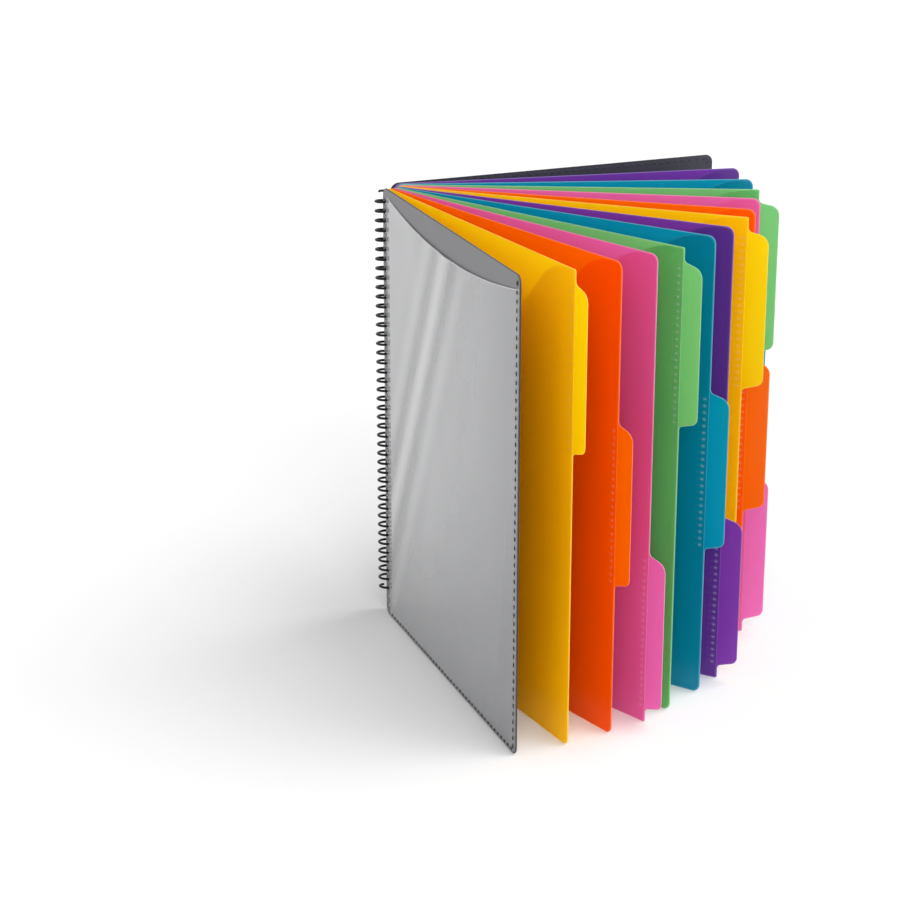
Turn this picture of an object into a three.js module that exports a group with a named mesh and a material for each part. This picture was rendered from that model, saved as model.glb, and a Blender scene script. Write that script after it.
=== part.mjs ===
// Letter organizer folder: two covers and twelve tabbed poly dividers on an upright spiral coil,
// standing on their bottom edges with the leaves fanned open.
// Millimetres and degrees, +Z up. The closed book lies along +X, with its front cover towards -Y.

import * as THREE from 'three';

// Leaves: the covers and dividers share one outline, apart from the tabs
const LEAF_HEIGHT = 292;
const LEAF_WIDTH = 231;
const OUTER_CORNER = 5;
const BINDING_CORNER = 6;
const COVER_THICKNESS = 0.8;
const SHEET_THICKNESS = 0.25;
const PANEL_THICKNESS = 0.18;
const VINYL_THICKNESS = 0.3;
const POCKET_GAP = 0.1;
const LEAF_CLEARANCE = 0.1;

// Spiral binding: four holes to the inch, tall enough for a leaf to swing round the wire
const WIRE_DIAMETER = 1.6;
const COIL_SLACK = 2.77;
const HOLE_PITCH = 6.2865;
const HOLE_END_MARGIN = 7;
const EMPTY_HOLES = 2;
const HOLE_CLEARANCE = 0.15;
const BINDING_WEB = 2;
const LEAF_SWING = 75;
const STEPS_PER_CURL = 8;
const WIRE_SIDES = 5;

// Divider tabs, in three places down the outer edge
const TAB_PLACES = 3;
const TAB_PROJECTION = 13;
const TAB_LENGTH = 100;
const TAB_FROM_CORNER = 3.5;
const TAB_SHOULDER_FALL = 3;
const TAB_CORNER = 7;
const TAB_FILLET = 3;
const TAB_HEEL_RISE = 4;
const TAB_HEEL_CORNER = 5;
const TAB_SIDE_CORNER = 1.2;

// Divider pockets: the mouth leaves the top edge on an arc, then falls straight to the binding
const PANEL_INSET = 0.4;
const PANEL_FROM_BINDING = 16;
const MOUTH_SETBACK = 25;
const MOUTH_RADIUS = 40;
const MOUTH_LOW = 95;

// Front cover pocket: clear vinyl with a sagging mouth
const VINYL_INSET = 1.5;
const VINYL_FROM_BINDING = 8.5;
const VINYL_CORNER = 4;
const VINYL_INNER_DROP = 5;
const VINYL_OUTER_DROP = 8;
const VINYL_SAG = 11;
const VINYL_MOUTH_STEPS = 12;

// Rest angles of the fan, from the closed position, front to back
const FRONT_COVER = { color: 0x848486, angle: -45 };
const DIVIDERS = [
  { name: '01_yellow', color: 0xe8aa0a, angle: -37 },
  { name: '02_orange', color: 0xf47003, angle: -29.5 },
  { name: '03_pink', color: 0xdb509b, angle: -23 },
  { name: '04_green', color: 0x6eb26c, angle: -17.5 },
  { name: '05_teal', color: 0x057b94, angle: -9.5 },
  { name: '06_purple', color: 0x69377a, angle: -3.5 },
  { name: '07_yellow', color: 0xd9a505, angle: 3 },
  { name: '08_orange', color: 0xe25204, angle: 8 },
  { name: '09_pink', color: 0xc36194, angle: 15 },
  { name: '10_green', color: 0x66c38c, angle: 21 },
  { name: '11_teal', color: 0x05a3cd, angle: 28 },
  { name: '12_purple', color: 0x573aa6, angle: 36 },
];
const BACK_COVER = { color: 0x393b47, angle: 46.5 };
const COIL_COLOR = 0x242426;
const VINYL_COLOR = 0xc8c8cc;
const POLY_LOOK = { roughness: 0.45, metalness: 0 };
const VINYL_LOOK = { roughness: 0.25, metalness: 0, transparent: true, opacity: 0.6 };

// Facets of each rounded corner are twice this
const CURVE_SEGMENTS = 2;

const { degToRad, radToDeg, lerp } = THREE.MathUtils;

// Stack of the closed book: each leaf's faces as offsets from the coil axis, front to back
const dividerPitch = PANEL_THICKNESS + POCKET_GAP + SHEET_THICKNESS + LEAF_CLEARANCE;
const stackDepth = 2 * COVER_THICKNESS + DIVIDERS.length * dividerPitch + LEAF_CLEARANCE;
const firstDividerFront = -stackDepth / 2 + COVER_THICKNESS + LEAF_CLEARANCE;

// The coil goes round the closed stack; its wire is a many-sided helix, so it sweeps a ring
const coilRadius = stackDepth / 2 + COIL_SLACK + WIRE_DIAMETER / 2;
const sweptInner = coilRadius * Math.cos(Math.PI / STEPS_PER_CURL) - WIRE_DIAMETER / 2;
const sweptOuter = coilRadius + WIRE_DIAMETER / 2;

// Where that ring passes through a sheet, as distances along the sheet from the coil axis
function wireSpan(front, back) {
  const far = Math.max(Math.abs(front), Math.abs(back));
  const near = front * back < 0 ? 0 : Math.min(Math.abs(front), Math.abs(back));
  return { from: Math.sqrt(sweptInner ** 2 - far ** 2), to: Math.sqrt(sweptOuter ** 2 - near ** 2) };
}

// The cover's holes meet the wire most aslant, and set one hole size for every leaf
const coverSpan = wireSpan(-stackDepth / 2, -stackDepth / 2 + COVER_THICKNESS);
const holeWidth = coverSpan.to - coverSpan.from + 2 * HOLE_CLEARANCE;
const aslantRise = HOLE_PITCH * (coverSpan.to - coverSpan.from) / (2 * Math.PI * coilRadius);
const swingRise = HOLE_PITCH * 2 * LEAF_SWING / 360;
const holeHeight = WIRE_DIAMETER + aslantRise + swingRise;
const holeCount = Math.floor((LEAF_HEIGHT - 2 * HOLE_END_MARGIN) / HOLE_PITCH) + 1;
const lowestHole = (LEAF_HEIGHT - (holeCount - 1) * HOLE_PITCH) / 2;

// Height of the wire after a number of turns, counted from the closed position at the lowest hole
const wireHeight = (turns) => lowestHole + HOLE_PITCH * turns;

// A closed outline whose corners are arcs of their own radius
function roundedOutline(corners) {
  const outline = new THREE.Shape();
  corners.forEach(({ x, y, radius }, i) => {
    const corner = new THREE.Vector2(x, y);
    const before = corners.at(i - 1);
    const after = corners[(i + 1) % corners.length];
    const back = new THREE.Vector2(before.x, before.y).sub(corner).normalize();
    const onward = new THREE.Vector2(after.x, after.y).sub(corner).normalize();
    const half = Math.acos(back.dot(onward)) / 2;
    const centre = back.clone().add(onward).setLength(radius / Math.sin(half)).add(corner);
    const clockwise = back.cross(onward) > 0;
    const tangent = radius / Math.tan(half);
    const start = back.multiplyScalar(tangent).add(corner).sub(centre).angle();
    const end = onward.multiplyScalar(tangent).add(corner).sub(centre).angle();
    outline.absarc(centre.x, centre.y, radius, start, end, clockwise);
  });
  outline.closePath();
  return outline;
}

// The row of punched holes, where the wire crosses a leaf that stands at this angle
function punchHoles(outline, wireAngle) {
  for (let hole = 0; hole < holeCount; hole += 1) {
    const low = wireHeight(hole + wireAngle / 360) - holeHeight / 2;
    const path = new THREE.Path();
    path.moveTo(BINDING_WEB, low);
    path.lineTo(BINDING_WEB, low + holeHeight);
    path.lineTo(BINDING_WEB + holeWidth, low + holeHeight);
    path.lineTo(BINDING_WEB + holeWidth, low);
    path.closePath();
    outline.holes.push(path);
  }
  return outline;
}

function coverOutline() {
  return roundedOutline([
    { x: 0, y: 0, radius: BINDING_CORNER },
    { x: LEAF_WIDTH, y: 0, radius: OUTER_CORNER },
    { x: LEAF_WIDTH, y: LEAF_HEIGHT, radius: OUTER_CORNER },
    { x: 0, y: LEAF_HEIGHT, radius: BINDING_CORNER },
  ]);
}

// Radii of a divider's outer corners: the one beside a tab is nearly square
function outerCorners(place) {
  return {
    foot: place === TAB_PLACES - 1 ? TAB_SIDE_CORNER : OUTER_CORNER,
    top: place === 0 ? TAB_SIDE_CORNER : OUTER_CORNER,
  };
}

// A divider's tab narrows outwards: its shoulder falls and its heel rises
function dividerOutline(place) {
  const tabDrop = OUTER_CORNER + TAB_FROM_CORNER;
  const tabPitch = (LEAF_HEIGHT - 2 * tabDrop - TAB_LENGTH) / (TAB_PLACES - 1);
  const tabTop = LEAF_HEIGHT - tabDrop - place * tabPitch;
  const tabBottom = tabTop - TAB_LENGTH;
  const tabEdge = LEAF_WIDTH + TAB_PROJECTION;
  const fillet = Math.min(TAB_FILLET, TAB_FROM_CORNER);
  const corner = Math.min(TAB_CORNER, TAB_PROJECTION - fillet);
  const heel = Math.min(TAB_HEEL_CORNER, TAB_PROJECTION - fillet);
  const { foot, top } = outerCorners(place);
  return roundedOutline([
    { x: 0, y: 0, radius: BINDING_CORNER },
    { x: LEAF_WIDTH, y: 0, radius: foot },
    { x: LEAF_WIDTH, y: tabBottom, radius: fillet },
    { x: tabEdge, y: tabBottom + TAB_HEEL_RISE, radius: heel },
    { x: tabEdge, y: tabTop - TAB_SHOULDER_FALL, radius: corner },
    { x: LEAF_WIDTH, y: tabTop, radius: fillet },
    { x: LEAF_WIDTH, y: LEAF_HEIGHT, radius: top },
    { x: 0, y: LEAF_HEIGHT, radius: BINDING_CORNER },
  ]);
}

function panelOutline(place) {
  const outer = LEAF_WIDTH - PANEL_INSET;
  const upper = LEAF_HEIGHT - PANEL_INSET;
  const { foot, top } = outerCorners(place);
  return roundedOutline([
    { x: PANEL_FROM_BINDING, y: PANEL_INSET, radius: OUTER_CORNER },
    { x: outer, y: PANEL_INSET, radius: foot },
    { x: outer, y: upper, radius: top },
    { x: outer - MOUTH_SETBACK, y: upper, radius: MOUTH_RADIUS },
    { x: PANEL_FROM_BINDING, y: MOUTH_LOW, radius: OUTER_CORNER },
  ]);
}

// The vinyl's mouth is a parabola that sags between its two ends
function vinylOutline() {
  const outer = LEAF_WIDTH - VINYL_INSET;
  const outline = new THREE.Shape();
  outline.moveTo(VINYL_FROM_BINDING, VINYL_INSET);
  outline.lineTo(outer - VINYL_CORNER, VINYL_INSET);
  outline.absarc(outer - VINYL_CORNER, VINYL_INSET + VINYL_CORNER, VINYL_CORNER, -Math.PI / 2, 0);
  for (let step = 0; step <= VINYL_MOUTH_STEPS; step += 1) {
    const t = step / VINYL_MOUTH_STEPS;
    const drop = lerp(VINYL_OUTER_DROP, VINYL_INNER_DROP, t) + 4 * VINYL_SAG * t * (1 - t);
    outline.lineTo(lerp(outer, VINYL_FROM_BINDING, t), LEAF_HEIGHT - drop);
  }
  outline.closePath();
  return outline;
}

// A flat piece standing in a leaf, its back face at the given offset from the coil axis
function flatPiece(name, outline, thickness, back, bindingEdge, color, look) {
  const geometry = new THREE.ExtrudeGeometry(outline, {
    depth: thickness,
    bevelEnabled: false,
    curveSegments: CURVE_SEGMENTS,
  });
  const piece = new THREE.Mesh(geometry, new THREE.MeshStandardMaterial({ color, ...look }));
  piece.name = name;
  piece.rotation.x = Math.PI / 2;
  piece.position.set(bindingEdge, back, 0);
  return piece;
}

// A leaf turned about the coil axis; its holes are punched where the wire then crosses it
function makeLeaf(name, outline, front, thickness, { color, angle }) {
  const back = front + thickness;
  const span = wireSpan(front, back);
  const reach = (span.from + span.to) / 2;
  const wireAngle = angle + radToDeg(Math.asin((front + back) / 2 / coilRadius));
  const leaf = new THREE.Group();
  leaf.rotation.z = degToRad(angle);
  leaf.userData.bindingEdge = reach - holeWidth / 2 - BINDING_WEB;
  const sheet = punchHoles(outline, wireAngle);
  leaf.add(flatPiece(name, sheet, thickness, back, leaf.userData.bindingEdge, color, POLY_LOOK));
  return leaf;
}

function makeFrontCover() {
  const front = -stackDepth / 2;
  const leaf = makeLeaf('front_cover', coverOutline(), front, COVER_THICKNESS, FRONT_COVER);
  const edge = leaf.userData.bindingEdge;
  const back = front - POCKET_GAP;
  const pocket = vinylOutline();
  leaf.add(flatPiece('front_cover_pocket', pocket, VINYL_THICKNESS, back, edge, VINYL_COLOR, VINYL_LOOK));
  return leaf;
}

function makeDivider(divider, index) {
  const panelFront = firstDividerFront + index * dividerPitch;
  const panelBack = panelFront + PANEL_THICKNESS;
  const place = index % TAB_PLACES;
  const sheetFront = panelBack + POCKET_GAP;
  const sheet = dividerOutline(place);
  const leaf = makeLeaf(`divider_${divider.name}`, sheet, sheetFront, SHEET_THICKNESS, divider);
  const edge = leaf.userData.bindingEdge;
  const pocket = `pocket_${divider.name}`;
  const panel = panelOutline(place);
  leaf.add(flatPiece(pocket, panel, PANEL_THICKNESS, panelBack, edge, divider.color, POLY_LOOK));
  return leaf;
}

function makeBackCover() {
  const front = stackDepth / 2 - COVER_THICKNESS;
  return makeLeaf('back_cover', coverOutline(), front, COVER_THICKNESS, BACK_COVER);
}

// The coil as one unbroken tube: rings of the wire's section along a right-handed helix,
// from half a turn below the first hole that it fills to half a turn above the last
function makeCoil() {
  const firstTurn = EMPTY_HOLES - 0.5;
  const steps = (holeCount - EMPTY_HOLES) * STEPS_PER_CURL;
  const climb = HOLE_PITCH / (2 * Math.PI * coilRadius);
  const positions = [];
  const indices = [];
  const centres = [];
  for (let step = 0; step <= steps; step += 1) {
    const turns = firstTurn + step / STEPS_PER_CURL;
    const angle = 2 * Math.PI * turns;
    const outward = new THREE.Vector3(Math.cos(angle), Math.sin(angle), 0);
    const along = new THREE.Vector3(-Math.sin(angle), Math.cos(angle), climb);
    const upward = outward.clone().cross(along).normalize();
    const centre = outward.clone().multiplyScalar(coilRadius).setZ(wireHeight(turns));
    centres.push(centre);
    for (let side = 0; side < WIRE_SIDES; side += 1) {
      const around = 2 * Math.PI * side / WIRE_SIDES;
      const point = centre.clone()
        .addScaledVector(outward, Math.cos(around) * WIRE_DIAMETER / 2)
        .addScaledVector(upward, Math.sin(around) * WIRE_DIAMETER / 2);
      positions.push(...point.toArray());
    }
  }
  const at = (step, side) => step * WIRE_SIDES + side % WIRE_SIDES;
  for (let step = 0; step < steps; step += 1) {
    for (let side = 0; side < WIRE_SIDES; side += 1) {
      indices.push(at(step, side), at(step + 1, side + 1), at(step, side + 1));
      indices.push(at(step, side), at(step + 1, side), at(step + 1, side + 1));
    }
  }
  for (let side = 1; side < WIRE_SIDES - 1; side += 1) {
    indices.push(at(0, 0), at(0, side), at(0, side + 1));
    indices.push(at(steps, 0), at(steps, side + 1), at(steps, side));
  }
  const geometry = new THREE.BufferGeometry();
  geometry.setAttribute('position', new THREE.Float32BufferAttribute(positions, 3));
  geometry.setIndex(indices);
  geometry.computeVertexNormals();
  const material = new THREE.MeshStandardMaterial({ color: COIL_COLOR, roughness: 0.4, metalness: 0 });
  const coil = new THREE.Mesh(geometry, material);
  coil.name = 'spiral_coil';
  console.log(`least gap between the coil's turns: ${leastGap(centres).toFixed(2)} mm`);
  return coil;
}

// Least gap of the wire to itself, between points half a turn or more apart
function leastGap(centres) {
  let least = Infinity;
  for (let i = 0; i < centres.length; i += 1) {
    const last = Math.min(i + 2 * STEPS_PER_CURL, centres.length - 1);
    for (let j = i + Math.ceil(STEPS_PER_CURL / 2); j <= last; j += 1) {
      least = Math.min(least, centres[i].distanceTo(centres[j]));
    }
  }
  return least - WIRE_DIAMETER;
}

const organizer = new THREE.Group();
organizer.name = 'letter_organizer_folder';
organizer.add(makeCoil(), makeFrontCover(), ...DIVIDERS.map(makeDivider), makeBackCover());

// The origin is the bottom centre of the standing, fanned-open book
const box = new THREE.Box3().setFromObject(organizer, true);
const middle = box.getCenter(new THREE.Vector3());
organizer.position.set(-middle.x, -middle.y, -box.min.z);
console.log(`coil axis at x ${organizer.position.x.toFixed(3)}, y ${organizer.position.y.toFixed(3)} mm`);

export default organizer;
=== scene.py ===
"""A spiral-bound letter organizer that stands fanned open: grey front cover with a sewn vinyl pocket,
twelve tabbed poly dividers with slash pockets, and a charcoal back cover, on a black plastic coil."""

import math

import bpy
import numpy as np
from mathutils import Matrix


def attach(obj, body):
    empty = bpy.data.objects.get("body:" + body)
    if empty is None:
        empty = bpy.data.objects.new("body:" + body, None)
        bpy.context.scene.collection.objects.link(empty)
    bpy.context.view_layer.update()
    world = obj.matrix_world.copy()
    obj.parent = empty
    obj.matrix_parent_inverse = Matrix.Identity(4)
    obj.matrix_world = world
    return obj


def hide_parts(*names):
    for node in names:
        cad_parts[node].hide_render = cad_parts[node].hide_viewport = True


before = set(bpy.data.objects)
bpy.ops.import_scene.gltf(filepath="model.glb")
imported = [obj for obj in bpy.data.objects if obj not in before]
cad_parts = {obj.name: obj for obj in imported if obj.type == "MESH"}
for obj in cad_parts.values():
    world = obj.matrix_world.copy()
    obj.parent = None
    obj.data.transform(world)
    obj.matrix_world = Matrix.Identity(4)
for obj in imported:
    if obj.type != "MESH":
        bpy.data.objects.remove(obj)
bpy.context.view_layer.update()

MM = 0.001

# Leaves, in millimetres
LEAF_HEIGHT = 292
LEAF_WIDTH = 231
OUTER_CORNER = 5
BINDING_CORNER = 6
COVER_THICKNESS = 0.8
SHEET_THICKNESS = 0.25
PANEL_THICKNESS = 0.18
VINYL_THICKNESS = 0.3
POCKET_GAP = 0.1
LEAF_CLEARANCE = 0.1

# Spiral binding
WIRE_RADIUS = 0.8
COIL_SLACK = 2.77
COIL_FACETS = 8
HOLE_PITCH = 6.2865
HOLE_END_MARGIN = 7
EMPTY_HOLES = 2
HOLE_CLEARANCE = 0.15
BINDING_WEB = 2
LEAF_SWING = 75
COIL_AXIS = np.array([-119.383, -2.092, 0.0])

# Tabs of the dividers
TAB_PLACES = 3
TAB_PROJECTION = 13
TAB_LENGTH = 100
TAB_FROM_CORNER = 3.5
TAB_SHOULDER_FALL = 3
TAB_CORNER = 7
TAB_FILLET = 3
TAB_HEEL_RISE = 4
TAB_HEEL_CORNER = 5
TAB_SIDE_CORNER = 1.2

# Slash pockets of the dividers
PANEL_INSET = 0.4
PANEL_FROM_BINDING = 16
MOUTH_SETBACK = 25
MOUTH_RADIUS = 40
MOUTH_LOW = 95

# Vinyl pocket of the front cover
VINYL_INSET = 1.0
VINYL_FROM_BINDING = 8.5
VINYL_CORNER = 4
VINYL_INNER_DROP = 5
VINYL_OUTER_DROP = 8
VINYL_SAG = 11

# Order and rest angles of the fan, front to back
FRONT_ANGLE = -45
DIVIDERS = [
    ("01_yellow", -37),
    ("02_orange", -29.5),
    ("03_pink", -23),
    ("04_green", -17.5),
    ("05_teal", -9.5),
    ("06_purple", -3.5),
    ("07_yellow", 3),
    ("08_orange", 8),
    ("09_pink", 15),
    ("10_green", 21),
    ("11_teal", 28),
    ("12_purple", 36),
]
BACK_ANGLE = 46.5

# Fineness of the new meshes
RIM = 0.7
ARC_STEPS = 8
CORNER_ROWS = 6
TILE_STEPS = 4
FIELD_COLUMNS = 6
HOLE_ROUNDNESS = 2.6
STRIP_MARGIN = 2.5
# Strength of the painted edge highlight along a pocket panel's mouth, and along its other sides
MOUTH_MARK = 0.3
PANEL_MARK = 0.5

RIM_UP = np.array([0, RIM])
FIELD_SHARES = np.linspace(0, 1, FIELD_COLUMNS + 1)[:, None]

DIVIDER_PITCH = PANEL_THICKNESS + POCKET_GAP + SHEET_THICKNESS + LEAF_CLEARANCE
STACK_DEPTH = 2 * COVER_THICKNESS + len(DIVIDERS) * DIVIDER_PITCH + LEAF_CLEARANCE
FIRST_PANEL = -STACK_DEPTH / 2 + COVER_THICKNESS + LEAF_CLEARANCE
COIL_RADIUS = STACK_DEPTH / 2 + COIL_SLACK + WIRE_RADIUS
SWEPT_INNER = COIL_RADIUS * math.cos(math.pi / COIL_FACETS) - WIRE_RADIUS
SWEPT_OUTER = COIL_RADIUS + WIRE_RADIUS
HOLE_COUNT = int((LEAF_HEIGHT - 2 * HOLE_END_MARGIN) / HOLE_PITCH) + 1
LOWEST_HOLE = (LEAF_HEIGHT - (HOLE_COUNT - 1) * HOLE_PITCH) / 2


def wire_span(front, back):
    """Where the ring that the coil sweeps passes through a sheet: from the root of the inner radius
    squared less the far face squared, to the root of the outer radius squared less the near face's."""
    near, far = sorted((abs(front), abs(back)))
    near = 0 if front * back < 0 else near
    return math.sqrt(SWEPT_INNER**2 - far**2), math.sqrt(SWEPT_OUTER**2 - near**2)


COVER_SPAN = wire_span(-STACK_DEPTH / 2, -STACK_DEPTH / 2 + COVER_THICKNESS)
WIRE_RUN = COVER_SPAN[1] - COVER_SPAN[0]
HOLE_WIDTH = WIRE_RUN + 2 * HOLE_CLEARANCE
HOLE_RISE = WIRE_RUN / (2 * math.pi * COIL_RADIUS) + 2 * LEAF_SWING / 360
HOLE_HEIGHT = 2 * WIRE_RADIUS + HOLE_PITCH * HOLE_RISE
HOLE_MIDDLE = BINDING_WEB + HOLE_WIDTH / 2
STRIP_WIDTH = BINDING_WEB + HOLE_WIDTH + STRIP_MARGIN


class Leaf:
    """One leaf of the book. A point on it is given by x, from the binding edge outwards, z, upwards,
    and n, the offset from the coil axis, front to back."""

    def __init__(self, body, angle, front, back):
        self.body = body
        self.front = front
        self.back = back
        self.edge = sum(wire_span(front, back)) / 2 - HOLE_MIDDLE
        turn = math.radians(angle)
        self.along = np.array([math.cos(turn), math.sin(turn), 0.0])
        self.through = np.array([-math.sin(turn), math.cos(turn), 0.0])
        wire_turn = angle / 360 + math.asin((front + back) / 2 / COIL_RADIUS) / (2 * math.pi)
        self.holes = LOWEST_HOLE + HOLE_PITCH * (np.arange(HOLE_COUNT) + wire_turn)

    def place(self, x, z, n):
        """The axis, plus x along the leaf, plus n through it, plus z upwards, in metres."""
        x, z, n = (part[..., None] for part in np.broadcast_arrays(x, z, n))
        upwards = np.array([0.0, 0.0, 1.0])
        return MM * (COIL_AXIS + (self.edge + x) * self.along + n * self.through + z * upwards)


def grid_faces(rows, columns, loop=False, ring=False):
    """Quads of a grid whose points are numbered row by row; a loop joins the last column to the first,
    and a ring the last row to the first."""
    at = np.arange(rows * columns).reshape(rows, columns)
    at = np.pad(at, ((0, int(ring)), (0, int(loop))), "wrap")
    return np.stack([at[:-1, :-1], at[:-1, 1:], at[1:, 1:], at[1:, :-1]], -1).reshape(-1, 4)


def copies(faces, points_each, count):
    """The faces of one shape, renumbered for each of its copies."""
    return (faces[None] + points_each * np.arange(count)[:, None, None]).reshape(-1, faces.shape[1])


def add_piece(name, points, faces, finish, body, replaced=None, rim=None, smooth=False):
    """Puts worked-out points and faces into a mesh that rides on a body. smooth may vary by face."""
    mesh = bpy.data.meshes.new(name)
    mesh.from_pydata(points.reshape(-1, 3).tolist(), [], faces.tolist())
    mesh.polygons.foreach_set("use_smooth", np.full(len(faces), smooth))
    marks = mesh.attributes.new("rim", "FLOAT", "POINT")
    marks.data.foreach_set("value", np.zeros(len(mesh.vertices)) if rim is None else rim)
    mesh.materials.append(finish)
    mesh.update()
    piece = bpy.data.objects.new(name, mesh)
    bpy.context.scene.collection.objects.link(piece)
    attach(piece, body)
    if replaced:
        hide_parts(replaced)


def setback(depth, radius, inset):
    """How far a side with rounded ends stands back at a depth from its end: the radius less the root
    of the inset radius squared minus what is left of the corner's depth squared."""
    left = np.clip(radius - depth, 0, None)
    return radius - np.sqrt(np.clip((radius - inset) ** 2 - left**2, 0, None))


def rounded_path(corners, straights):
    """A path along a polyline whose inner corners are arcs. corners holds x, z and radius, and straights
    how many points go between one arc and the next. Each arc turns evenly from the foot of one side to
    the foot of the other, round a centre on the corner's halving line."""
    spots = np.array([corner[:2] for corner in corners], float)
    share = np.linspace(0, 1, ARC_STEPS + 1)[:, None]
    arcs = []
    for before, corner, after, (_, _, radius) in zip(spots, spots[1:], spots[2:], corners[1:]):
        back = (before - corner) / np.linalg.norm(before - corner)
        onward = (after - corner) / np.linalg.norm(after - corner)
        half = math.acos(back @ onward) / 2
        middle = back + onward
        centre = corner + middle / np.linalg.norm(middle) * radius / math.sin(half)
        start = corner + back * radius / math.tan(half) - centre
        end = corner + onward * radius / math.tan(half) - centre
        sweep = math.pi - 2 * half
        swung = np.sin((1 - share) * sweep) * start + np.sin(share * sweep) * end
        arcs.append(centre + swung / math.sin(sweep))
    path = [arcs[0]]
    for last, following, count in zip(arcs, arcs[1:], straights):
        between = np.linspace(0, 1, count + 2)[1:-1, None]
        path += [last[-1] + (following[0] - last[-1]) * between, following]
    return np.concatenate(path)


def inset_path(path, inset, left=True):
    """A path moved sideways by the inset: each point along the normal of its neighbours' chord."""
    chord = np.gradient(path, axis=0)
    chord /= np.linalg.norm(chord, axis=1, keepdims=True)
    normal = np.stack([-chord[:, 1], chord[:, 0]], 1)
    return path + (inset if left else -inset) * normal


def outer_corners(place):
    """Radii of a leaf's outer corners, foot and top: the one beside a tab is nearly square."""
    foot = TAB_SIDE_CORNER if place == TAB_PLACES - 1 else OUTER_CORNER
    return foot, TAB_SIDE_CORNER if place == 0 else OUTER_CORNER


def tab_heights(place):
    """Heights of a tab's heel and shoulder: the places share out the side evenly, the first at the top."""
    drop = OUTER_CORNER + TAB_FROM_CORNER
    shoulder = LEAF_HEIGHT - drop - place * (LEAF_HEIGHT - 2 * drop - TAB_LENGTH) / (TAB_PLACES - 1)
    return shoulder - TAB_LENGTH, shoulder


def outer_side(rows, place):
    """The outer side of a leaf, from the bottom corner to the top one, with as many points as there are
    rows. With a place, a tab that narrows outwards stands out of it: its shoulder falls, its heel rises."""
    foot_radius, top_radius = outer_corners(place)
    bottom = [(0, 0, 0), (LEAF_WIDTH, 0, foot_radius)]
    top = [(LEAF_WIDTH, LEAF_HEIGHT, top_radius), (0, LEAF_HEIGHT, 0)]
    arc_points = ARC_STEPS + 1
    if place is None:
        return rounded_path(bottom + top, [len(rows) - 2 * arc_points])
    tab_bottom, tab_top = tab_heights(place)
    tab_edge = LEAF_WIDTH + TAB_PROJECTION
    tab = [
        (LEAF_WIDTH, tab_bottom, TAB_FILLET),
        (tab_edge, tab_bottom + TAB_HEEL_RISE, TAB_HEEL_CORNER),
        (tab_edge, tab_top - TAB_SHOULDER_FALL, TAB_CORNER),
        (LEAF_WIDTH, tab_top, TAB_FILLET),
    ]
    spare = len(rows) - (len(tab) + 2) * arc_points
    below = max(0, int(np.searchsorted(rows, tab_bottom)) - arc_points)
    above = max(0, len(rows) - int(np.searchsorted(rows, tab_top)) - arc_points)
    return rounded_path(bottom + tab + top, [below, 0, spare - below - above, 0, above])


def leaf_rows(leaf, inset):
    """Heights of a leaf's rows: even steps past the holes, and steps that grow as squares from each end."""
    low = leaf.holes[0] - HOLE_PITCH / 2
    high = leaf.holes[-1] + HOLE_PITCH / 2
    growth = np.linspace(0, 1, CORNER_ROWS + 1) ** 2
    bottom = inset + (low - inset) * growth
    top = LEAF_HEIGHT - inset - (LEAF_HEIGHT - inset - high) * growth[::-1]
    return np.concatenate([bottom[:-1], np.linspace(low, high, TILE_STEPS * HOLE_COUNT + 1), top[1:]])


def binding_side(rows, inset):
    """The binding side of a leaf as x and z, with its two rounded corners."""
    depth = np.minimum(rows, LEAF_HEIGHT - rows)
    return np.stack([setback(depth, BINDING_CORNER, inset), rows], 1)


def ring_tiles(strip, holes):
    """Tiles round the punched holes: the ring of points round each block of the strip, and where the
    line from each to the hole's centre meets the oval (a superellipse)."""
    edge = np.arange(TILE_STEPS)
    still = np.zeros(TILE_STEPS, int)
    ring_row = np.concatenate([still, edge, still + TILE_STEPS, TILE_STEPS - edge])
    ring_column = np.concatenate([edge, still + TILE_STEPS, TILE_STEPS - edge, still])
    first_row = CORNER_ROWS + TILE_STEPS * np.arange(HOLE_COUNT)
    ring = strip[first_row[:, None] + ring_row, ring_column]
    centre = np.stack([np.full(HOLE_COUNT, HOLE_MIDDLE), holes], 1)[:, None]
    arm = ring - centre
    reach = np.abs(arm / np.array([HOLE_WIDTH / 2, HOLE_HEIGHT / 2])) ** HOLE_ROUNDNESS
    oval = centre + arm / reach.sum(-1, keepdims=True) ** (1 / HOLE_ROUNDNESS)
    return np.stack([ring, oval], 1)


def joined(patches):
    """One flat mesh from several: points that share a place are merged, and faces all turn one way."""
    points, faces, rims, start = [], [], [], 0
    for patch, patch_faces, patch_rim in patches:
        points.append(patch.reshape(-1, 2))
        faces.append(patch_faces + start)
        rims.append(np.broadcast_to(patch_rim, patch.shape[:-1]).reshape(-1))
        start += len(points[-1])
    points = np.concatenate(points)
    _, first, index = np.unique(np.round(points, 4), axis=0, return_index=True, return_inverse=True)
    faces = index.reshape(-1)[np.concatenate(faces)]
    points = points[first]
    x, z = points[faces, 0], points[faces, 1]
    area = (x * np.roll(z, -1, 1) - np.roll(x, -1, 1) * z).sum(1)
    faces = np.where(area[:, None] > 0, faces, faces[:, ::-1])
    return points, faces, np.concatenate(rims)[first]


def rim_band(outline, inner, marks):
    """The band between an outline and the same loop further in, marked along the outline."""
    band = np.stack([outline, inner])
    return band, grid_faces(2, len(outline), loop=True), np.stack([marks, np.zeros(len(marks))])


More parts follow.
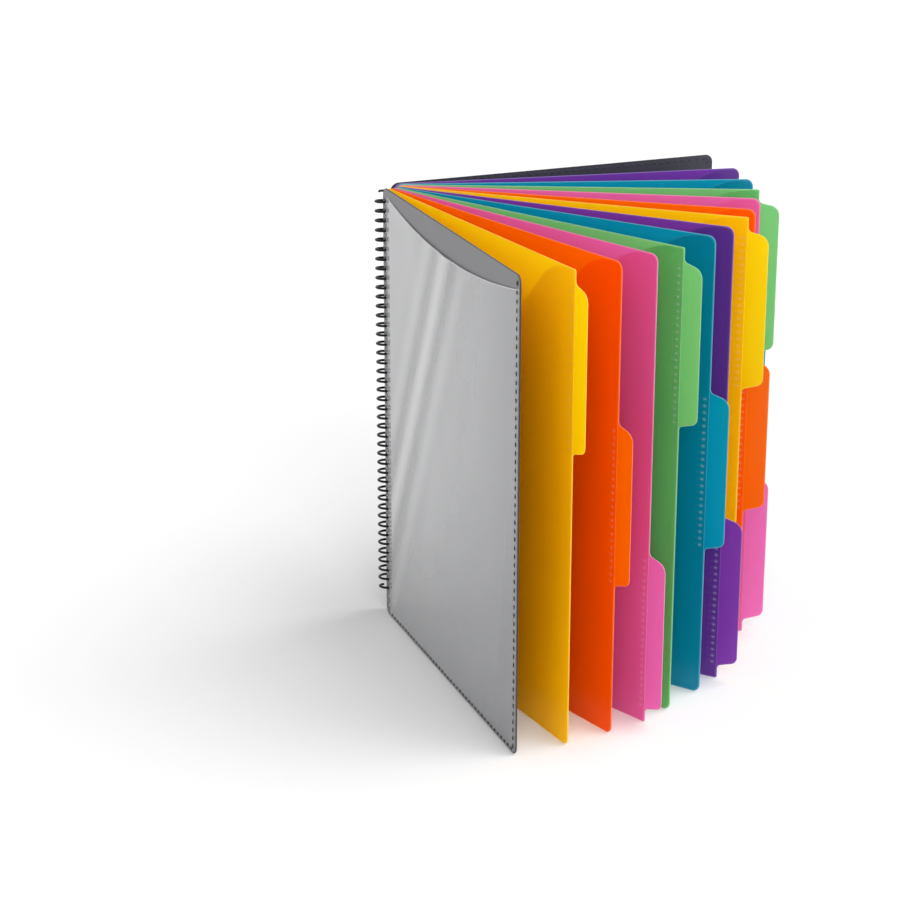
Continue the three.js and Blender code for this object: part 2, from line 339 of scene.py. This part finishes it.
def punched_leaf(leaf, place):
    """Flat mesh of a punched leaf: tiles round the holes, the strip's two ends, ruled rows from the strip
    to the outer side, and a rim band round the whole outline."""
    rows = leaf_rows(leaf, RIM)
    across = np.linspace(0, 1, TILE_STEPS + 1)[:, None]
    start = binding_side(rows, RIM)[:, None]
    stop = np.stack([np.full(len(rows), STRIP_WIDTH), rows], 1)[:, None]
    strip = start + (stop - start) * across
    outline_right = outer_side(rows, place)
    inner_right = inset_path(outline_right, RIM)
    field = stop + (inner_right[:, None] - stop) * FIELD_SHARES
    bottom = np.concatenate([strip[0, 1:], field[0, 1:-1]])
    top = np.concatenate([strip[-1, 1:], field[-1, 1:-1]])[::-1]
    inner = np.concatenate([strip[::-1, 0], bottom, inner_right, top])
    outline_left = binding_side(leaf_rows(leaf, 0), 0)[::-1]
    outline = np.concatenate([outline_left, bottom - RIM_UP, outline_right, top + RIM_UP])
    tiles = ring_tiles(strip, leaf.holes)
    ring_points = 4 * TILE_STEPS
    tile_faces = copies(grid_faces(2, ring_points, loop=True), 2 * ring_points, HOLE_COUNT)
    end_faces = grid_faces(CORNER_ROWS + 1, TILE_STEPS + 1)
    return joined(
        [
            (tiles, tile_faces, 0.0),
            (strip[: CORNER_ROWS + 1], end_faces, 0.0),
            (strip[-CORNER_ROWS - 1 :], end_faces, 0.0),
            (field, grid_faces(len(rows), FIELD_COLUMNS + 1), 0.0),
            rim_band(outline, inner, np.ones(len(outline))),
        ]
    )


def panel_sheet(place):
    """Flat mesh of a slash pocket's panel: level rows from its mouth side to its outer side, and a rim
    band. The mouth leaves the top edge on a wide arc and falls straight towards the binding."""
    outer = LEAF_WIDTH - PANEL_INSET
    top = LEAF_HEIGHT - PANEL_INSET
    foot_radius, top_radius = outer_corners(place)
    mouth = [
        (outer, PANEL_INSET, 0),
        (PANEL_FROM_BINDING, PANEL_INSET, OUTER_CORNER),
        (PANEL_FROM_BINDING, MOUTH_LOW, OUTER_CORNER),
        (outer - MOUTH_SETBACK, top, MOUTH_RADIUS),
        (outer, top, 0),
    ]
    outline_left = rounded_path(mouth, [FIELD_COLUMNS, FIELD_COLUMNS])
    inner_left = inset_path(outline_left, RIM, left=False)

    def far_side(rows, inset):
        low = setback(rows - PANEL_INSET, foot_radius, inset)
        high = setback(top - rows, top_radius, inset)
        return np.stack([outer - np.maximum(low, high), rows], 1)

    outline_right = far_side(outline_left[:, 1], 0)
    inner_right = far_side(inner_left[:, 1], RIM)
    field = inner_left[:, None] + (inner_right - inner_left)[:, None] * FIELD_SHARES
    bottom, upper = field[0, 1:-1], field[-1, -2:0:-1]
    inner = np.concatenate([inner_left[::-1], bottom, inner_right, upper])
    outline = np.concatenate([outline_left[::-1], bottom - RIM_UP, outline_right, upper + RIM_UP])
    marks = np.where(np.arange(len(outline)) < len(outline_left), MOUTH_MARK, PANEL_MARK)
    field_faces = grid_faces(len(inner_left), FIELD_COLUMNS + 1)
    return joined([(field, field_faces, 0.0), rim_band(outline, inner, marks)])


def plate(leaf, flat, front, back):
    """A closed plate from a flat mesh: the mesh at the front offset, the same turned over at the back
    offset, and a wall wherever a side of a face has no neighbour. front and back may vary by point."""
    points, faces, rim = flat
    count = len(points)
    sides = np.stack([faces, np.roll(faces, -1, 1)], -1).reshape(-1, 2)
    lone = ~np.isin(sides @ [count, 1], sides @ [1, count])
    walls = np.c_[sides[lone][:, ::-1], sides[lone] + count]
    placed = [leaf.place(points[:, 0], points[:, 1], n) for n in (front, back)]
    return np.concatenate(placed), np.concatenate([faces, faces[:, ::-1] + count, walls]), np.tile(rim, 2)


VINYL_COLUMNS = 48
VINYL_ROWS = 56
VINYL_ROW_GROWTH = 1.3
VINYL_EDGE = 0.9
FOLD_FOOT = -23
FOLD_LEAN = 0.5
FOLD_PITCH = 32
FOLD_REACH = 30
FOLD_HEIGHT = 0.5
MOUTH_LIFT = 0.7
# The first is the frosting's own level. The three after it are painted light: a painted sheen on the fold
# crests, and painted shade outwards and downwards, for the shadowed floor that the sheet reflects there.
HAZE = 0.54
SHEEN_PAINTED_ON_CRESTS = 0.7
SHADE_PAINTED_OUTWARDS = 0.45
SHADE_PAINTED_DOWNWARDS = 0.22


def vinyl_sheet():
    """Flat mesh of the cover's pocket, and how far each point stands out. Across, x runs to the rounded
    outer side; upwards, z runs to a mouth that sags as a parabola. Slanting folds, a sine across a bell
    round the line that leans outwards from the foot, die out at the sewn sides, and the sheet stands out
    a little more towards the open mouth. Its rim mark is the frosting with painted light: a painted sheen
    on the crests, painted shade outwards and downwards, and a painted highlight along the mouth's edge."""
    across = np.linspace(0, 1, VINYL_COLUMNS + 1)[None]
    mouth = LEAF_HEIGHT - VINYL_INNER_DROP - (VINYL_OUTER_DROP - VINYL_INNER_DROP) * across
    mouth = mouth - 4 * VINYL_SAG * across * (1 - across)
    upward = np.linspace(0, 1, VINYL_ROWS)[:, None] ** VINYL_ROW_GROWTH
    upward = np.concatenate([upward * (1 - VINYL_EDGE / LEAF_HEIGHT), [[1.0]]])
    z = VINYL_INSET + (mouth - VINYL_INSET) * upward
    outer = LEAF_WIDTH - VINYL_INSET - setback(z - VINYL_INSET, VINYL_CORNER, 0)
    x = VINYL_FROM_BINDING + (outer - VINYL_FROM_BINDING) * across
    hold = np.sin(math.pi * across) * (1 - (1 - upward) ** 6)
    from_fold = x - FOLD_FOOT - FOLD_LEAN * z
    bell = np.exp(-((from_fold / FOLD_REACH) ** 2))
    folds = 0.5 + 0.5 * np.cos(2 * math.pi * from_fold / FOLD_PITCH) * bell
    stand_out = hold * (FOLD_HEIGHT * folds + MOUTH_LIFT * upward**8)
    mesh = np.stack([x, z], -1)
    # Painted light on the frosting: a painted sheen along the fold crests, and painted shade outwards and
    # downwards, for the shadowed floor that the sheet reflects there
    haze_and_painted_light = HAZE + SHEEN_PAINTED_ON_CRESTS * (folds - 0.5)
    haze_and_painted_light = haze_and_painted_light - SHADE_PAINTED_OUTWARDS * across**2 - SHADE_PAINTED_DOWNWARDS * (1 - upward) ** 2
    # A painted highlight along the mouth's edge
    haze_and_painted_light[-1] = 1
    points, faces, rims = joined([(mesh, grid_faces(VINYL_ROWS + 1, VINYL_COLUMNS + 1), haze_and_painted_light)])
    _, first = np.unique(np.round(mesh.reshape(-1, 2), 4), axis=0, return_index=True)
    return (points, faces, rims), stand_out.reshape(-1)[first]


COIL_STEPS = 28
WIRE_SIDES = 10
CRIMP_TURNS = 0.14
CRIMP_DEPTH = 1.8
END_RINGS = 4
END_TIP = 0.02


def coil_wire():
    """The wire as one tube: a round section carried up a right-handed helix, from half a turn below the
    first hole that it fills to half a turn above the last. Each end is crimped inwards by a square law
    and closes in a dome, whose rings shrink as a cosine while they move on by a sine."""
    first, last = EMPTY_HOLES - 0.5, HOLE_COUNT - 0.5
    turns = np.linspace(first, last, int((last - first) * COIL_STEPS) + 1)
    from_end = np.clip(CRIMP_TURNS - np.minimum(turns - first, last - turns), 0, None) / CRIMP_TURNS
    radius = COIL_RADIUS - CRIMP_DEPTH * from_end**2
    angle = 2 * math.pi * turns
    centre = np.stack([radius * np.cos(angle), radius * np.sin(angle), LOWEST_HOLE + HOLE_PITCH * turns], 1)
    forward = np.gradient(centre, axis=0)
    forward /= np.linalg.norm(forward, axis=1, keepdims=True)
    dome = np.linspace(0, math.pi / 2, END_RINGS + 1)[1:]
    onward = WIRE_RADIUS * np.sin(dome)[:, None]
    size = np.concatenate([np.cos(dome)[::-1], np.ones(len(turns)), np.cos(dome)])
    below = centre[0] - onward[::-1] * forward[0]
    above = centre[-1] + onward * forward[-1]
    centre = np.concatenate([below, centre, above])
    forward = np.concatenate([forward[:1].repeat(END_RINGS, 0), forward, forward[-1:].repeat(END_RINGS, 0)])
    side = np.cross(forward, [0.0, 0.0, 1.0])
    side /= np.linalg.norm(side, axis=1, keepdims=True)
    over = np.cross(side, forward)
    around = np.linspace(0, 2 * math.pi, WIRE_SIDES, endpoint=False)[None, :, None]
    section = np.cos(around) * side[:, None] + np.sin(around) * over[:, None]
    points = COIL_AXIS + centre[:, None] + WIRE_RADIUS * np.maximum(size, END_TIP)[:, None, None] * section
    faces = grid_faces(len(centre), WIRE_SIDES, loop=True)[:, ::-1].tolist()
    ring = list(range(WIRE_SIDES))
    end = [(len(centre) - 1) * WIRE_SIDES + k for k in ring]
    return MM * points, np.array(faces + [ring, end[::-1]], dtype=object)


STITCH_PITCH = 5.2
STITCH_LENGTH = 3.6
# Wider than the thread: the dark stitches also paint the shade in the puckers round the needle holes
STITCH_WIDTH = 2.1
STITCH_SIDES = 6
STITCH_STATIONS = np.array([0.02, 0.75, 1.0, 0.75, 0.02])


def seam(leaf, path, face, height):
    """Stitches along a straight-sided path on a face of a leaf: each is a flat spindle, an oval section
    that swells from a point to full width and back. height is how far it stands out, front or back."""
    leg = np.diff(path, axis=0)
    length = np.linalg.norm(leg, axis=1)
    middles, ways = [], []
    for begin, way, reach in zip(path, leg / length[:, None], length):
        count = max(1, int(reach / STITCH_PITCH))
        along = (np.arange(count) + 0.5) * reach / count
        middles.append(begin + along[:, None] * way)
        ways.append(np.repeat(way[None], count, 0))
    middle = np.concatenate(middles)[:, None, None]
    way = np.concatenate(ways)[:, None, None]
    sideways = np.stack([-way[..., 1], way[..., 0]], -1)
    station = np.linspace(-0.5, 0.5, len(STITCH_STATIONS))[None, :, None]
    swell = STITCH_STATIONS[None, :, None]
    around = np.linspace(0, 2 * math.pi, STITCH_SIDES, endpoint=False)[None, None]
    flat = middle + (STITCH_LENGTH * station)[..., None] * way
    flat = flat + (STITCH_WIDTH / 2 * swell * np.cos(around))[..., None] * sideways
    offset = face + height * swell * np.sin(around)
    points = leaf.place(flat[..., 0], flat[..., 1], offset)
    stations = len(STITCH_STATIONS)
    faces = copies(grid_faces(stations, STITCH_SIDES, loop=True), stations * STITCH_SIDES, len(middle))
    caps = np.arange(STITCH_SIDES)
    ends = np.stack([caps[::-1], caps + (stations - 1) * STITCH_SIDES])
    ends = copies(ends, stations * STITCH_SIDES, len(middle))
    return points, np.array(faces.tolist() + ends.tolist(), dtype=object)


WELD_PITCH = 4.25
WELD_HEIGHT = 0.05
WELD_SIDES = 12

# Each weld's marks: place from the panel's edge, half width and height, open share, and paleness. The ring
# and the faint second column are pale from the weld; the small filled middle oval at full paleness is a
# painted glint.
WELD_MARKS = [(3.0, 1.5, 1.3, 0.7, 0.4), (3.0, 0.95, 0.5, 0.02, 1.0), (6.0, 0.7, 0.55, 0.4, 0.2)]


def weld_marks(leaf, place, face):
    """Spot welds beside a tab: low ovals in rows. Each has three rings, an inner foot, a ridge and an outer
    foot, which are one oval at three scales, and closes underneath from the outer foot to the inner one."""
    tab_bottom, _ = tab_heights(place)
    count = int(TAB_LENGTH / WELD_PITCH)
    heights = tab_bottom + WELD_PITCH * (np.arange(count)[:, None, None] + 0.5)
    around = np.linspace(0, 2 * math.pi, WELD_SIDES, endpoint=False)[None, None]
    rise = np.array([0.0, WELD_HEIGHT, 0.0])[None, :, None]
    ovals, pales = [], []
    for from_edge, half_width, half_height, open_share, pale in WELD_MARKS:
        scale = np.array([open_share, (1 + open_share) / 2, 1.0])[None, :, None]
        z = heights + half_height * scale * np.sin(around)
        x = LEAF_WIDTH - PANEL_INSET - from_edge + half_width * scale * np.cos(around)
        ovals.append(leaf.place(x, z, face - rise))
        # Paleness: whitening from the weld, and a painted glint in the filled middle oval
        pales.append(np.full(z.size, pale))
    points = np.concatenate(ovals)
    faces = copies(grid_faces(3, WELD_SIDES, loop=True, ring=True), 3 * WELD_SIDES, len(points))
    return points, faces, np.concatenate(pales)


class Value:
    """A shader socket that takes part in sums: each operator adds a Math node."""

    def __init__(self, finish, socket):
        self.finish = finish
        self.socket = socket

    def math(self, operation, first, second):
        return self.finish.node("ShaderNodeMath", {"operation": operation}, {0: first, 1: second})

    def __add__(self, other):
        return self.math("ADD", self, other)

    def __radd__(self, other):
        return self.math("ADD", other, self)

    def __sub__(self, other):
        return self.math("SUBTRACT", self, other)

    def __rsub__(self, other):
        return self.math("SUBTRACT", other, self)

    def __mul__(self, other):
        return self.math("MULTIPLY", self, other)

    def __rmul__(self, other):
        return self.math("MULTIPLY", other, self)


class Finish:
    """A material's nodes, all made by one method."""

    def __init__(self, name, owner=None):
        self.owner = owner or bpy.data.materials.new(name)
        self.owner.use_nodes = True
        self.tree = self.owner.node_tree
        self.tree.nodes.clear()

    def node(self, kind, settings=None, inputs=None, output=0):
        node = self.tree.nodes.new(kind)
        for key, value in (settings or {}).items():
            setattr(node, key, value)
        for key, value in (inputs or {}).items():
            if isinstance(value, Value):
                self.tree.links.new(value.socket, node.inputs[key])
            else:
                node.inputs[key].default_value = value
        return Value(self, node.outputs[output] if node.outputs else None)

    def place(self, scale=(1.0, 1.0, 1.0)):
        coordinates = self.node("ShaderNodeTexCoord", output="Object")
        return self.node("ShaderNodeMapping", inputs={"Vector": coordinates, "Scale": scale})

    def noise(self, place, scale, detail=2.0):
        inputs = {"Vector": place, "Scale": scale, "Detail": detail}
        return self.node("ShaderNodeTexNoise", inputs=inputs)

    def rim(self):
        return self.node("ShaderNodeAttribute", {"attribute_name": "rim"}, output=2)

    def mix(self, factor, first, second):
        return self.node("ShaderNodeMix", {"data_type": "RGBA"}, {0: factor, 6: first, 7: second}, 2)

    def bump(self, height, strength, distance):
        inputs = {"Height": height, "Strength": strength, "Distance": distance}
        return self.node("ShaderNodeBump", inputs=inputs)

    def show(self, shader):
        self.node("ShaderNodeOutputMaterial", inputs={"Surface": shader})
        return self.owner


def srgb(red, green, blue):
    """A colour as written in a picture, 0 to 255, as the linear light that shaders take."""
    share = np.array([red, green, blue]) / 255
    linear = np.where(share <= 0.04045, share / 12.92, ((share + 0.055) / 1.055) ** 2.4)
    return (*linear.tolist(), 1.0)


STREAK_SCALE = (1.0, 1.0, 0.02)


def poly_finish(name, body, through, edge, passed):
    """Translucent poly: faint upright streaks from the extruder, a fine matt grain, a sheen, and a painted
    highlight along the edges, paled towards the edge colour. passed is the share of the light that goes
    through."""
    finish = Finish(name)
    streaks = finish.noise(finish.place(STREAK_SCALE), 700.0)
    cloud = finish.noise(finish.place(), 14.0)
    grain = finish.noise(finish.place(), 2600.0, 1.0)
    rim = finish.rim()
    shade = finish.mix(streaks * 0.5 + cloud * 0.3, srgb(*body), srgb(*through))
    # The rim band is a painted highlight along the edges: paled towards the edge colour, and a little less
    # translucent
    colour = finish.mix(rim * 0.8, shade, srgb(*edge))
    inputs = {
        "Base Color": colour,
        "Roughness": 0.18 + cloud * 0.12,
        "Specular IOR Level": 0.85,
        "Normal": finish.bump(grain, 0.12, 0.0002),
    }
    skin = finish.node("ShaderNodeBsdfPrincipled", inputs=inputs)
    glow = finish.node("ShaderNodeBsdfTranslucent", inputs={"Color": srgb(*through)})
    share = passed - rim * 0.2
    return finish.show(finish.node("ShaderNodeMixShader", inputs={0: share, 1: skin, 2: glow}))


def cover_finish(name, body, worn, edge, rough):
    """Opaque cover poly with a fine pebble grain, faint clouding, and a darker cut edge."""
    finish = Finish(name)
    cloud = finish.noise(finish.place(), 18.0, 3.0)
    pebble = finish.node("ShaderNodeTexVoronoi", inputs={"Vector": finish.place(), "Scale": 1500.0})
    rim = finish.rim()
    colour = finish.mix(rim, finish.mix(cloud * 0.6, srgb(*body), srgb(*worn)), srgb(*edge))
    inputs = {
        "Base Color": colour,
        "Roughness": rough + cloud * 0.12,
        "Specular IOR Level": 0.4,
        "Normal": finish.bump(pebble, 0.25, 0.0002),
    }
    return finish.show(finish.node("ShaderNodeBsdfPrincipled", inputs=inputs))


def vinyl_finish():
    """Frosted clear vinyl: a smooth, partly see-through skin with a faint unevenness. Its rim mark makes it
    whiter and less see-through: the frosting itself, with a painted sheen on the crests of its folds, a
    painted highlight at the mouth's edge, and painted shade outwards and downwards."""
    finish = Finish("frosted_vinyl")
    cloud = finish.noise(finish.place((1.0, 1.0, 0.4)), 26.0)
    rim = finish.rim()
    inputs = {
        "Base Color": finish.mix(rim, srgb(224, 225, 227), srgb(246, 246, 248)),
        "Roughness": 0.1 + cloud * 0.1,
        "Specular IOR Level": 1.0,
        "IOR": 1.55,
        "Coat Weight": 0.6,
        "Coat Roughness": 0.08,
        "Alpha": 0.2 + cloud * 0.1 + rim * 0.5,
    }
    return finish.show(finish.node("ShaderNodeBsdfPrincipled", inputs=inputs))


def coil_finish():
    """Black coil plastic: satin, with a faint drawn grain."""
    finish = Finish("coil_plastic")
    grain = finish.noise(finish.place(), 900.0)
    inputs = {
        "Base Color": finish.mix(grain, srgb(8, 8, 9), srgb(18, 18, 20)),
        "Roughness": 0.36 + grain * 0.14,
        "Specular IOR Level": 0.18,
        "Normal": finish.bump(grain, 0.08, 0.0002),
    }
    return finish.show(finish.node("ShaderNodeBsdfPrincipled", inputs=inputs))


def thread_finish(name, dark, light):
    """Sewing thread: twisted strands seen as fine slanting bands, matt."""
    finish = Finish(name)
    inputs = {"Vector": finish.place((1.0, 1.0, 0.7)), "Scale": 600.0, "Distortion": 1.0}
    twist = finish.node("ShaderNodeTexWave", {"bands_direction": "DIAGONAL"}, inputs, 1)
    inputs = {
        "Base Color": finish.mix(twist, srgb(*dark), srgb(*light)),
        "Roughness": 0.75,
        "Normal": finish.bump(twist, 0.4, 0.0003),
    }
    return finish.show(finish.node("ShaderNodeBsdfPrincipled", inputs=inputs))


# Body colour, colour of the light that goes through, colour of the painted highlight along the edges, and
# the share that goes through
POLY_COLOURS = {
    "yellow": ((255, 239, 10), (255, 236, 8), (255, 240, 150), 0.77),
    "orange": ((255, 152, 4), (255, 154, 4), (255, 200, 150), 0.74),
    "pink": ((244, 132, 204), (248, 156, 218), (252, 210, 230), 0.62),
    "green": ((112, 215, 137), (178, 232, 170), (214, 248, 222), 0.67),
    "teal": ((2, 182, 212), (4, 192, 218), (168, 230, 242), 0.66),
    "purple": ((122, 80, 208), (178, 104, 204), (210, 192, 238), 0.7),
}
poly = {colour: poly_finish(f"{colour}_poly", *looks) for colour, looks in POLY_COLOURS.items()}
grey_cover = cover_finish("grey_cover", (126, 126, 129), (142, 142, 144), (46, 46, 48), 0.42)
black_cover = cover_finish("black_cover", (50, 51, 60), (64, 65, 74), (40, 40, 46), 0.38)
vinyl = vinyl_finish()
dark_thread = thread_finish("dark_thread", (8, 8, 14), (28, 28, 38))
black_thread = thread_finish("black_thread", (38, 39, 46), (58, 59, 68))

# Coil
points, faces = coil_wire()
add_piece("coil", points, faces, coil_finish(), "spine", "spiral_coil", smooth=True)

# Front cover and its sewn pocket
front_face = -STACK_DEPTH / 2
front = Leaf("front_leaf", FRONT_ANGLE, front_face, front_face + COVER_THICKNESS)
points, faces, rim = plate(front, punched_leaf(front, None), front.front, front.back)
add_piece("cover_front", points, faces, grey_cover, front.body, "front_cover", rim)

vinyl_flat, stand_out = vinyl_sheet()
vinyl_back = front.front - POCKET_GAP - stand_out
points, faces, rim = plate(front, vinyl_flat, vinyl_back - VINYL_THICKNESS, vinyl_back)
broad = np.arange(len(faces)) < 2 * len(vinyl_flat[1])
add_piece("pocket_vinyl", points, faces, vinyl, front.body, "front_cover_pocket", rim, broad)

# Back cover
back_face = STACK_DEPTH / 2
back = Leaf("back_leaf", BACK_ANGLE, back_face - COVER_THICKNESS, back_face)
points, faces, rim = plate(back, punched_leaf(back, None), back.front, back.back)
add_piece("cover_back", points, faces, black_cover, back.body, "back_cover", rim)

# Stitches of the seams, on both faces of each cover
SEAM_FROM_SIDE = 3.5
SEAM_FROM_END = 2.4
SEAM_FROM_VINYL = 1.5
STITCH_HEIGHT = 0.3
INSIDE_STITCH_HEIGHT = 0.04
seam_outer = LEAF_WIDTH - SEAM_FROM_SIDE
seam_inner = VINYL_FROM_BINDING + SEAM_FROM_VINYL
seam_top = LEAF_HEIGHT - SEAM_FROM_END
front_path = np.array([(seam_inner, SEAM_FROM_END), (seam_outer, SEAM_FROM_END), (seam_outer, seam_top)])
back_path = np.array([*front_path, (seam_inner, seam_top)])
vinyl_front = front.front - POCKET_GAP - VINYL_THICKNESS
SEAMS = [
    ("seam_front", front, front_path, vinyl_front, STITCH_HEIGHT, dark_thread, "grey_cover"),
    ("seam_front_inside", front, front_path, front.back, INSIDE_STITCH_HEIGHT, dark_thread, "grey_cover"),
    ("seam_back", back, back_path, back.back, STITCH_HEIGHT, black_thread, "black_cover"),
    ("seam_back_inside", back, back_path, back.front, INSIDE_STITCH_HEIGHT, black_thread, "black_cover"),
]
for name, leaf, path, face, height, thread, slot in SEAMS:
    points, faces = seam(leaf, path, face, height)
    add_piece(name, points, faces, thread, leaf.body, smooth=True)

# Dividers: punched sheet with its tab, slash pocket panel and spot welds
panels = [panel_sheet(place) for place in range(TAB_PLACES)]
for index, (name, angle) in enumerate(DIVIDERS):
    colour = name.split("_")[1]
    slot = f"{colour}_poly"
    place = index % TAB_PLACES
    panel_front = FIRST_PANEL + index * DIVIDER_PITCH
    panel_back = panel_front + PANEL_THICKNESS
    sheet_front = panel_back + POCKET_GAP
    leaf = Leaf(f"leaf_{name[:2]}", angle, sheet_front, sheet_front + SHEET_THICKNESS)
    points, faces, rim = plate(leaf, punched_leaf(leaf, place), leaf.front, leaf.back)
    add_piece(f"sheet_{name}", points, faces, poly[colour], leaf.body, f"divider_{name}", rim)
    points, faces, rim = plate(leaf, panels[place], panel_front, panel_back)
    add_piece(f"panel_{name}", points, faces, poly[colour], leaf.body, f"pocket_{name}", rim)
    points, faces, rim = weld_marks(leaf, place, panel_front)
    add_piece(f"welds_{name}", points, faces, poly[colour], leaf.body, None, rim)

# Floor: a pale sweep that takes the shadow, a little whiter to the eye and in reflections
WHITE = (1.0, 1.0, 1.0, 1.0)
FLOOR_HALF = 12.0
FLOOR_PAINT = (0.95, 0.95, 0.95, 1.0)
FLOOR_LIFT = 0.05
corners = FLOOR_HALF * np.array([(-1, -1, 0), (1, -1, 0), (1, 1, 0), (-1, 1, 0)])
floor_mesh = bpy.data.meshes.new("floor")
floor_mesh.from_pydata(corners.tolist(), [], [(0, 1, 2, 3)])
floor_look = Finish("floor_white")
floor_paint = floor_look.node("ShaderNodeBsdfDiffuse", inputs={"Color": FLOOR_PAINT})
to_eye = floor_look.node("ShaderNodeLightPath", output="Is Camera Ray")
to_gloss = floor_look.node("ShaderNodeLightPath", output="Is Glossy Ray")
floor_glow = (to_eye + to_gloss) * FLOOR_LIFT
floor_white = floor_look.node("ShaderNodeEmission", inputs={"Color": WHITE, "Strength": floor_glow})
floor_mesh.materials.append(
    floor_look.show(floor_look.node("ShaderNodeAddShader", inputs={0: floor_paint, 1: floor_white}))
)
floor = bpy.data.objects.new("floor", floor_mesh)
bpy.context.scene.collection.objects.link(floor)

# World: even white fill, and plain white to the eye
FILL = 0.37
world = bpy.data.worlds.new("studio")
bpy.context.scene.world = world
studio = Finish("studio", world)
to_eye = studio.node("ShaderNodeLightPath", output="Is Camera Ray")
to_gloss = studio.node("ShaderNodeLightPath", output="Is Glossy Ray")
through_clear = studio.node("ShaderNodeLightPath", output="Is Transmission Ray")
seen = to_eye + to_gloss + through_clear
strength = FILL + seen * (1.0 - FILL)
background = studio.node("ShaderNodeBackground", inputs={"Color": WHITE, "Strength": strength})
studio.node("ShaderNodeOutputWorld", inputs={"Surface": background})

# Lamps: a broad key from the right, and a low broad front light from the camera's right
LAMPS = [
    # name, strength, spread, azimuth and elevation in degrees
    ("key", 1.75, 50, 24, 57),
    ("front", 1.75, 56, -52, 26),
]
for name, strength, spread, azimuth, elevation in LAMPS:
    lamp_data = bpy.data.lights.new(name, "SUN")
    lamp_data.energy = strength
    lamp_data.angle = math.radians(spread)
    lamp = bpy.data.objects.new(name, lamp_data)
    lamp.rotation_euler = (math.radians(90 - elevation), 0, math.radians(azimuth + 90))
    bpy.context.scene.collection.objects.link(lamp)

# Camera, from a fit to the photograph's leaf corners
CAMERA_SPOT = (0.5368, -1.3508, 0.6382)
CAMERA_TURN = 24.447
CAMERA_DIP = 19.278
CAMERA_LENS = 96.34
camera_data = bpy.data.cameras.new("camera")
camera_data.lens = CAMERA_LENS
camera_data.sensor_width = 36
camera = bpy.data.objects.new("camera", camera_data)
camera.location = CAMERA_SPOT
camera.rotation_euler = (math.radians(90 - CAMERA_DIP), 0, math.radians(CAMERA_TURN))
bpy.context.scene.collection.objects.link(camera)
bpy.context.scene.camera = camera
bpy.context.scene.view_settings.view_transform = "Standard"
